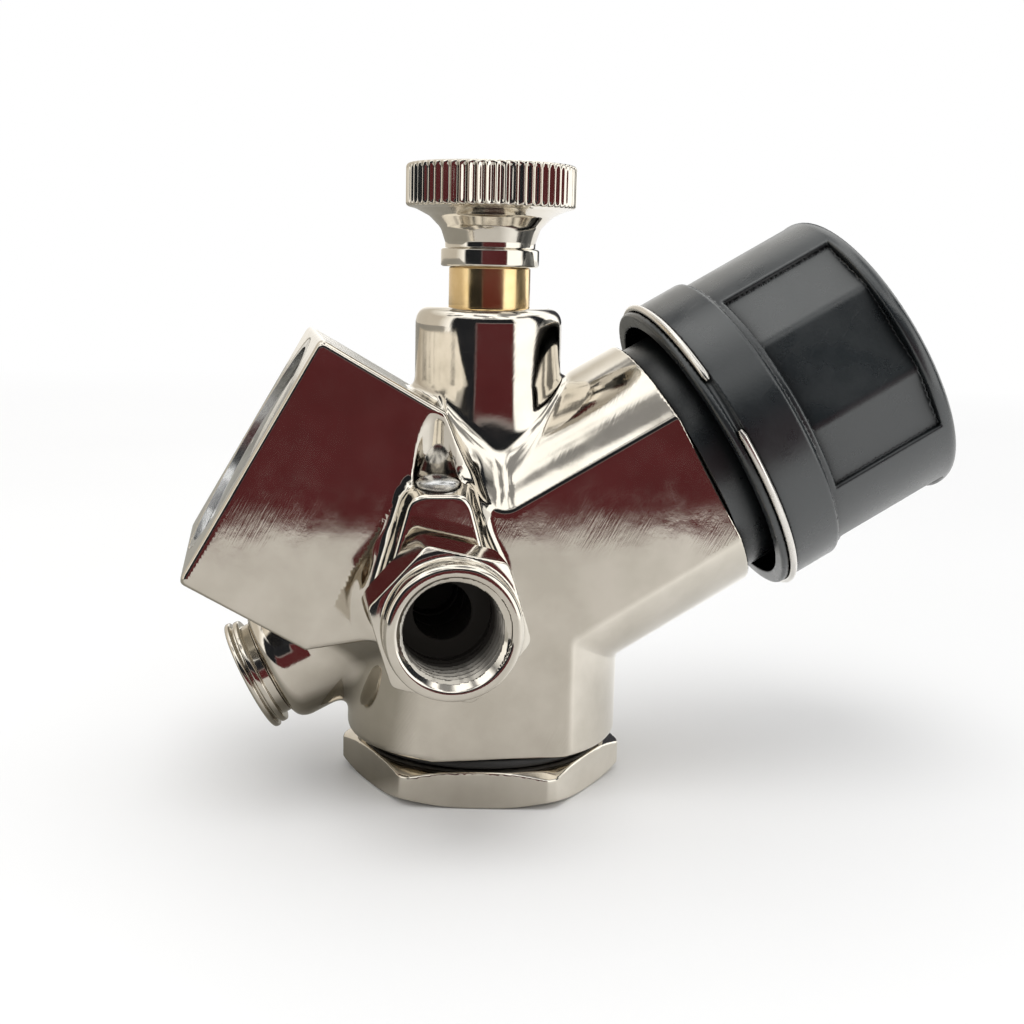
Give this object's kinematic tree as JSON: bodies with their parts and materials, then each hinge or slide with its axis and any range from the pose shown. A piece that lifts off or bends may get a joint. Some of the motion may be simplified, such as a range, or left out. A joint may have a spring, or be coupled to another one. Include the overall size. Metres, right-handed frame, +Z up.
{
  "type": "gas pressure regulator",
  "caption": "Miniature gas pressure regulator: three-arm plated body with a hexagonal cylinder socket, front outlet, square gauge housing, spring adjusting knob and knurled shut-off knob.",
  "frame": {"origin": "centre of the hexagonal inlet nut's bottom face, on the cylinder thread's axis", "axes": "+Z up along the shut-off spindle; -Y out of the outlet; +X towards the adjusting knob"},
  "size_m": [0.1039, 0.0584, 0.0822],
  "materials": {
    "nickel_plate": "polished nickel plate over cast brass, lightly brushed on the flats",
    "black_plastic": "satin moulded black nylon",
    "brass": "turned",
    "bronze": "drawn tube",
    "copper": "soft copper",
    "seal_rubber": "moulded seal",
    "nylon": "natural nylon",
    "spring_steel": "drawn wire",
    "steel": "bright steel",
    "dial_white": "matt white enamel with black scale",
    "pointer_black": "matt black",
    "clear_lens": "clear moulded acrylic"
  },
  "bodies": {
    "regulator_body": {"bezel_ring": "steel", "body": "nickel_plate", "bonnet": "black_plastic", "bourdon_tube": "bronze", "burst_disc": "copper", "cylinder_gasket": "nylon", "dial_posts": "brass", "disc_washer": "steel", "gauge_dial": "dial_white", "gauge_lens": "clear_lens", "gauge_socket": "brass", "inlet_nut": "nickel_plate", "inlet_seal": "seal_rubber", "lens_gasket": "seal_rubber", "main_spring": "spring_steel", "movement_back_plate": "brass", "movement_front_plate": "brass", "movement_pillars": "brass", "outlet_fitting": "nickel_plate", "outlet_washer": "copper", "passage_plug": "steel", "pin_seal": "seal_rubber", "pin_spring": "spring_steel", "pin_washer": "steel", "poppet_spring": "spring_steel", "relief_gasket": "seal_rubber", "relief_plug": "nickel_plate", "seat_oring": "seal_rubber", "thrust_washer": "steel", "tube_tip": "brass", "valve_seat": "brass"},
    "depressor": {"depressor_pin": "steel"},
    "shutoff": {"valve_spindle": "brass", "spindle_oring": "seal_rubber", "valve_knob": "nickel_plate"},
    "piston": {"piston": "brass", "piston_oring": "seal_rubber"},
    "poppet": {"poppet": "brass", "poppet_seal": "seal_rubber"},
    "spring_nut": {"spring_nut": "brass"},
    "adjuster": {"adjusting_screw": "steel", "adjusting_knob": "black_plastic", "wire_ring": "spring_steel"},
    "pointer": {"gauge_pinion": "brass", "gauge_pointer": "pointer_black"},
    "sector": {"gauge_sector": "brass"},
    "link": {"gauge_link": "brass"}
  },
  "joints": [
    {"name": "adjusting_knob_turn", "type": "hinge", "parent": "regulator_body", "child": "adjuster", "pos_m": [0, 0, 0.0273], "axis": [0.866, 0, 0.5], "range_deg": [-1800, 0]},
    {"name": "spring_nut_slide", "type": "slide", "parent": "regulator_body", "child": "spring_nut", "axis": [0.866, 0, 0.5], "range_m": [-0.00751, 0.00001], "deforming": ["main_spring"]},
    {"name": "valve_knob_turn", "type": "hinge", "parent": "depressor", "child": "shutoff", "pos_m": [0, 0, 0.0634], "axis": [0, 0, 1], "range_deg": [-1080.5, 0.5]},
    {"name": "depressor_slide", "type": "slide", "parent": "regulator_body", "child": "depressor", "axis": [0, 0, 1], "range_m": [-0.0045, 0], "deforming": ["pin_spring"]},
    {"name": "piston_slide", "type": "slide", "parent": "regulator_body", "child": "piston", "axis": [0.866, 0, 0.5], "range_m": [-0.0006, 0]},
    {"name": "poppet_slide", "type": "slide", "parent": "regulator_body", "child": "poppet", "axis": [0.866, 0, 0.5], "range_m": [-0.00061, 0.00001], "deforming": ["poppet_spring"]},
    {"name": "pointer_turn", "type": "hinge", "parent": "regulator_body", "child": "pointer", "pos_m": [-0.02598, 0, 0.0423], "axis": [-0.866, 0, 0.5], "range_deg": [-270.5, 0.5]},
    {"name": "sector_turn", "type": "hinge", "parent": "regulator_body", "child": "sector", "pos_m": [-0.02321, -0.00286, 0.03109], "axis": [-0.866, 0, 0.5], "range_deg": [0, 45]},
    {"name": "link_turn", "type": "hinge", "parent": "sector", "child": "link", "pos_m": [-0.0245, -0.00246, 0.02887], "axis": [-0.866, 0, 0.5], "range_deg": [-45.1, 0.1]}
  ],
  "couplings": [
    {"joint": "spring_nut_slide", "follows": "adjusting_knob_turn", "m_per_rad": 0.00023873},
    {"joint": "valve_knob_turn", "follows": "depressor_slide", "rad_per_m": 4188.8},
    {"joint": "poppet_slide", "follows": "piston_slide", "ratio": 1},
    {"joint": "pointer_turn", "follows": "sector_turn", "ratio": -6},
    {"joint": "link_turn", "follows": "sector_turn", "ratio": -1}
  ]
}
